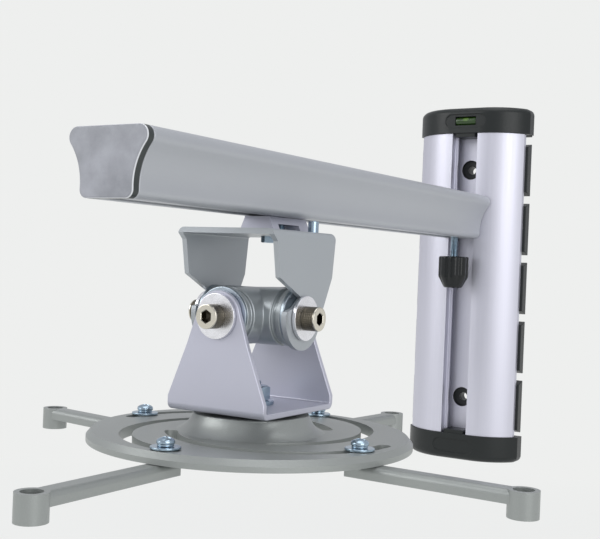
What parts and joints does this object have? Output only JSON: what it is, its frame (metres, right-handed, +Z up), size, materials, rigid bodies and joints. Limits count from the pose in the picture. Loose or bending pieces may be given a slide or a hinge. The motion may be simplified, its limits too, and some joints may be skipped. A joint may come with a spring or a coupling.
{
  "type": "projector wall mount",
  "caption": "Wall arm for a short-throw projector: slotted column, sliding arm, two-way tilting head and a slotted disc with swinging legs.",
  "frame": {"origin": "middle of the column's height, on the wall face", "axes": "+Z up, +Y into the wall, -Y along the arm, +X to the right seen from the room"},
  "size_m": [0.3404, 0.4817, 0.274],
  "materials": {
    "satin_silver": "satin anodised",
    "black_plastic": "fine moulded grain",
    "level_green": "clear green liquid",
    "plain_steel": "plain",
    "arm_grey": "fine metallic powder coat",
    "cap_grey": "satin",
    "bracket_silver": "satin metallic paint",
    "block_grey": "glossy metallic paint",
    "disc_grey": "fine metallic powder coat",
    "zinc_screw": "bluish bright zinc",
    "nickel_screw": "warm nickel",
    "polished_washer": "polished",
    "dark_washer": "plain"
  },
  "bodies": {
    "column": {"column_extrusion": "satin_silver", "rear_plate": "black_plastic", "top_cap": "black_plastic", "bottom_cap": "black_plastic", "level_vial": "level_green"},
    "arm": {"slider_block": "plain_steel", "slider_screws": "zinc_screw", "arm_end_plate": "arm_grey", "arm_insert": "plain_steel", "arm_extrusion": "arm_grey", "arm_front_cap": "cap_grey"},
    "knob": {"knob_stud": "zinc_screw", "hand_knob": "black_plastic"},
    "trolley": {"trolley_nut_plate": "plain_steel", "trolley_shoe": "bracket_silver", "trolley_bolts": "zinc_screw", "lock_screw": "zinc_screw", "upper_bracket": "bracket_silver"},
    "cross": {"cross_block": "block_grey", "pitch_screws": "nickel_screw", "pitch_washers": "polished_washer", "pitch_friction_washers": "bracket_silver", "roll_screws": "nickel_screw", "roll_washers": "polished_washer", "roll_friction_washers": "bracket_silver"},
    "cradle": {"lower_bracket": "bracket_silver", "swivel_friction_pad": "dark_washer", "swivel_washer": "zinc_screw", "swivel_nut": "zinc_screw", "swivel_bolt": "zinc_screw"},
    "disc": {"disc_plate": "disc_grey"},
    "clamp_front": {"clamp_screw_front": "zinc_screw", "clamp_spring_front": "zinc_screw", "clamp_washer_front": "zinc_screw"},
    "foot_arm_front": {"leg_front": "disc_grey"},
    "clamp_right": {"clamp_screw_right": "zinc_screw", "clamp_spring_right": "zinc_screw", "clamp_washer_right": "zinc_screw"},
    "foot_arm_right": {"leg_right": "disc_grey"},
    "clamp_back": {"clamp_screw_back": "zinc_screw", "clamp_spring_back": "zinc_screw", "clamp_washer_back": "zinc_screw"},
    "foot_arm_back": {"leg_back": "disc_grey"},
    "clamp_left": {"clamp_screw_left": "zinc_screw", "clamp_spring_left": "zinc_screw", "clamp_washer_left": "zinc_screw"},
    "foot_arm_left": {"leg_left": "disc_grey"}
  },
  "joints": [
    {"name": "height_slide", "type": "slide", "parent": "column", "child": "arm", "axis": [0, 0, 1], "range_m": [-0.12, 0.025]},
    {"name": "knob_turn", "type": "hinge", "parent": "arm", "child": "knob", "pos_m": [0, -0.04, 0.006], "axis": [0, 0, 1], "continuous": true},
    {"name": "trolley_slide", "type": "slide", "parent": "arm", "child": "trolley", "axis": [0, 1, 0], "range_m": [-0.1, 0.08]},
    {"name": "pitch_tilt", "type": "hinge", "parent": "trolley", "child": "cross", "pos_m": [0, -0.3092, -0.0195], "axis": [1, 0, 0], "range_deg": [-20, 20]},
    {"name": "roll_tilt", "type": "hinge", "parent": "cross", "child": "cradle", "pos_m": [0, -0.3092, -0.0195], "axis": [0, 1, 0], "range_deg": [-20, 20]},
    {"name": "disc_swivel", "type": "hinge", "parent": "cradle", "child": "disc", "pos_m": [0, -0.3092, -0.0195], "axis": [0, 0, 1], "continuous": true},
    {"name": "slot_slide_front", "type": "hinge", "parent": "disc", "child": "clamp_front", "pos_m": [0.00539, -0.32673, -0.085], "axis": [0, 0, 1], "range_deg": [-42, 4.5]},
    {"name": "leg_turn_front", "type": "hinge", "parent": "clamp_front", "child": "foot_arm_front", "pos_m": [0.00339, -0.38719, -0.093], "axis": [0, 0, 1], "range_deg": [-25, 25]},
    {"name": "slot_slide_right", "type": "hinge", "parent": "disc", "child": "clamp_right", "pos_m": [0.01753, -0.30381, -0.085], "axis": [0, 0, 1], "range_deg": [-26, 20.5]},
    {"name": "leg_turn_right", "type": "hinge", "parent": "clamp_right", "child": "foot_arm_right", "pos_m": [0.0751, -0.3224, -0.093], "axis": [0, 0, 1], "range_deg": [-25, 25]},
    {"name": "slot_slide_back", "type": "hinge", "parent": "disc", "child": "clamp_back", "pos_m": [-0.00539, -0.29167, -0.085], "axis": [0, 0, 1], "range_deg": [-42, 4.5]},
    {"name": "leg_turn_back", "type": "hinge", "parent": "clamp_back", "child": "foot_arm_back", "pos_m": [-0.00339, -0.23121, -0.093], "axis": [0, 0, 1], "range_deg": [-25, 25]},
    {"name": "slot_slide_left", "type": "hinge", "parent": "disc", "child": "clamp_left", "pos_m": [-0.01753, -0.31459, -0.085], "axis": [0, 0, 1], "range_deg": [-36.2, 10.3]},
    {"name": "leg_turn_left", "type": "hinge", "parent": "clamp_left", "child": "foot_arm_left", "pos_m": [-0.07748, -0.30649, -0.093], "axis": [0, 0, 1], "range_deg": [-25, 25]}
  ]
}
